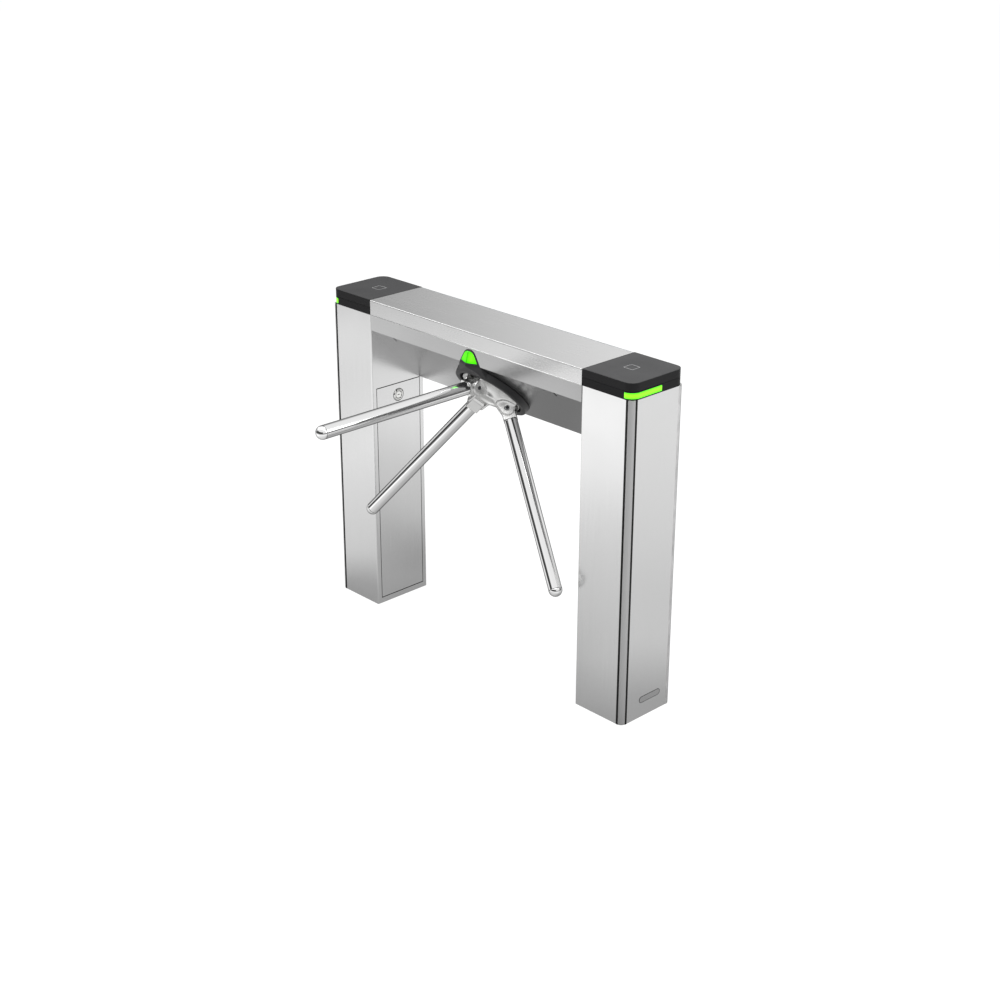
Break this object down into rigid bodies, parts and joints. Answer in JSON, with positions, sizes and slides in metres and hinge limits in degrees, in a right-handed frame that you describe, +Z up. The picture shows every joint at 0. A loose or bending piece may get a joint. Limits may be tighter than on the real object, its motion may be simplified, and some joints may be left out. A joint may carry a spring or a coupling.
{
  "type": "tripod turnstile",
  "caption": "Bridge-type tripod turnstile: a stainless cabinet on two posts with a slanted front, a rotor with drop arms and green direction lights.",
  "frame": {"origin": "on the floor, at the middle of the body's length and width", "axes": "+X along the beam to the right seen from the lane, -Y towards the lane and the arms, +Z up"},
  "size_m": [1.2, 0.7332, 0.98],
  "materials": {
    "brushed_stainless": "brushed, satin",
    "zinc_plated_steel": "plain, dull",
    "polished_stainless": "polished",
    "cast_aluminium": "bead blasted, satin",
    "charcoal_plastic": "fine satin",
    "smoked_cap_top": "satin gloss",
    "green_lens": "clear, lit from inside",
    "machined_steel": "machined",
    "brass": "machined",
    "black_plastic": "satin",
    "circuit_board": "solder mask"
  },
  "bodies": {
    "cabinet": {"left_base_plate": "zinc_plated_steel", "right_base_plate": "zinc_plated_steel", "left_post_shell": "brushed_stainless", "right_post_shell": "brushed_stainless", "left_end_panel": "brushed_stainless", "right_end_panel": "brushed_stainless", "corner_strips": "brushed_stainless", "left_cap_base": "charcoal_plastic", "right_cap_base": "charcoal_plastic", "left_cap_cover": "smoked_cap_top", "right_cap_cover": "smoked_cap_top", "left_light_bar": "green_lens", "right_light_bar": "green_lens", "card_readers": "black_plastic", "beam_front": "brushed_stainless", "beam_rear": "brushed_stainless", "beam_end_plates": "zinc_plated_steel", "beam_hinge_leaf": "zinc_plated_steel", "hinge_pin": "polished_stainless", "shroud": "charcoal_plastic", "shroud_light": "green_lens", "mounting_plate": "zinc_plated_steel", "bearing_housing": "cast_aluminium", "shaft_bearings": "polished_stainless", "rotary_damper": "black_plastic", "bridge_plate": "zinc_plated_steel", "bridge_posts": "machined_steel", "entry_solenoid": "black_plastic", "exit_solenoid": "black_plastic", "solenoid_brackets": "zinc_plated_steel", "drop_solenoid": "black_plastic", "sensor_bracket": "zinc_plated_steel", "position_sensors": "brass", "power_supply": "zinc_plated_steel", "control_board": "circuit_board"},
    "lid": {"lid": "brushed_stainless", "lid_hinge_leaf": "zinc_plated_steel"},
    "left_door": {"left_door": "brushed_stainless", "left_lock_ring": "polished_stainless"},
    "right_door": {"right_door": "brushed_stainless", "right_lock_ring": "polished_stainless"},
    "left_lock": {"left_lock_plug": "black_plastic"},
    "right_lock": {"right_lock_plug": "black_plastic"},
    "rotor": {"rotor_head": "cast_aluminium", "pivot_pins": "machined_steel", "drive_shaft": "machined_steel", "index_wheel": "machined_steel", "damper_gear": "brass"},
    "arm_1": {"arm_1_root": "cast_aluminium", "arm_1_tube": "polished_stainless"},
    "arm_2": {"arm_2_root": "cast_aluminium", "arm_2_tube": "polished_stainless"},
    "arm_3": {"arm_3_root": "cast_aluminium", "arm_3_tube": "polished_stainless"},
    "release_rod": {"release_rod": "polished_stainless"},
    "damper_pinion": {"damper_pinion": "machined_steel"},
    "entry_pawl": {"entry_pawl": "machined_steel"},
    "exit_pawl": {"exit_pawl": "machined_steel"},
    "entry_plunger": {"entry_plunger": "machined_steel"},
    "exit_plunger": {"exit_plunger": "machined_steel"}
  },
  "joints": [
    {"name": "rotor_spin", "type": "hinge", "parent": "cabinet", "child": "rotor", "pos_m": [0, -0.00999, 0.79899], "axis": [0, -0.7071, -0.7071], "continuous": true},
    {"name": "arm_1_drop", "type": "hinge", "parent": "rotor", "child": "arm_1", "pos_m": [0, -0.08565, 0.82232], "axis": [1, 0, 0], "range_deg": [0, 90]},
    {"name": "arm_2_drop", "type": "hinge", "parent": "rotor", "child": "arm_2", "pos_m": [-0.06062, -0.0114, 0.74807], "axis": [-0.5, -0.6124, 0.6124], "range_deg": [0, 45]},
    {"name": "arm_3_drop", "type": "hinge", "parent": "rotor", "child": "arm_3", "pos_m": [0.06062, -0.0114, 0.74807], "axis": [-0.5, 0.6124, -0.6124], "range_deg": [0, 45]},
    {"name": "lid_open", "type": "hinge", "parent": "cabinet", "child": "lid", "pos_m": [0, 0.096, 0.976], "axis": [-1, 0, 0], "range_deg": [0, 75]},
    {"name": "left_door_tilt", "type": "hinge", "parent": "cabinet", "child": "left_door", "pos_m": [-0.4259, 0, 0.0175], "axis": [0, 1, 0], "range_deg": [0, 15]},
    {"name": "right_door_tilt", "type": "hinge", "parent": "cabinet", "child": "right_door", "pos_m": [0.4259, 0, 0.0175], "axis": [0, -1, 0], "range_deg": [0, 15]},
    {"name": "left_lock_turn", "type": "hinge", "parent": "left_door", "child": "left_lock", "pos_m": [-0.425, 0, 0.667], "axis": [1, 0, 0], "range_deg": [0, 90]},
    {"name": "right_lock_turn", "type": "hinge", "parent": "right_door", "child": "right_lock", "pos_m": [0.425, 0, 0.667], "axis": [1, 0, 0], "range_deg": [0, 90]},
    {"name": "release_pull", "type": "slide", "parent": "rotor", "child": "release_rod", "axis": [0, 0.7071, 0.7071], "range_m": [0, 0.006], "stiffness_N_per_m": 400},
    {"name": "damper_turn", "type": "hinge", "parent": "cabinet", "child": "damper_pinion", "pos_m": [0, 0.01547, 0.90081], "axis": [0, -0.7071, -0.7071], "continuous": true},
    {"name": "entry_pawl_swing", "type": "hinge", "parent": "cabinet", "child": "entry_pawl", "pos_m": [0.074, 0.01441, 0.87995], "axis": [0, 0.7071, 0.7071], "range_deg": [0, 16], "stiffness_Nm_per_rad": 0.3},
    {"name": "exit_pawl_swing", "type": "hinge", "parent": "cabinet", "child": "exit_pawl", "pos_m": [-0.074, 0.01441, 0.87995], "axis": [0, -0.7071, -0.7071], "range_deg": [0, 16], "stiffness_Nm_per_rad": 0.3},
    {"name": "entry_plunger_travel", "type": "slide", "parent": "cabinet", "child": "entry_plunger", "axis": [-1, 0, 0], "range_m": [0, 0.0165]},
    {"name": "exit_plunger_travel", "type": "slide", "parent": "cabinet", "child": "exit_plunger", "axis": [1, 0, 0], "range_m": [0, 0.0165]}
  ],
  "couplings": [
    {"joint": "damper_turn", "follows": "rotor_spin", "ratio": -2},
    {"joint": "entry_plunger_travel", "follows": "entry_pawl_swing", "m_per_rad": 0.058668},
    {"joint": "exit_plunger_travel", "follows": "exit_pawl_swing", "m_per_rad": 0.058668}
  ]
}
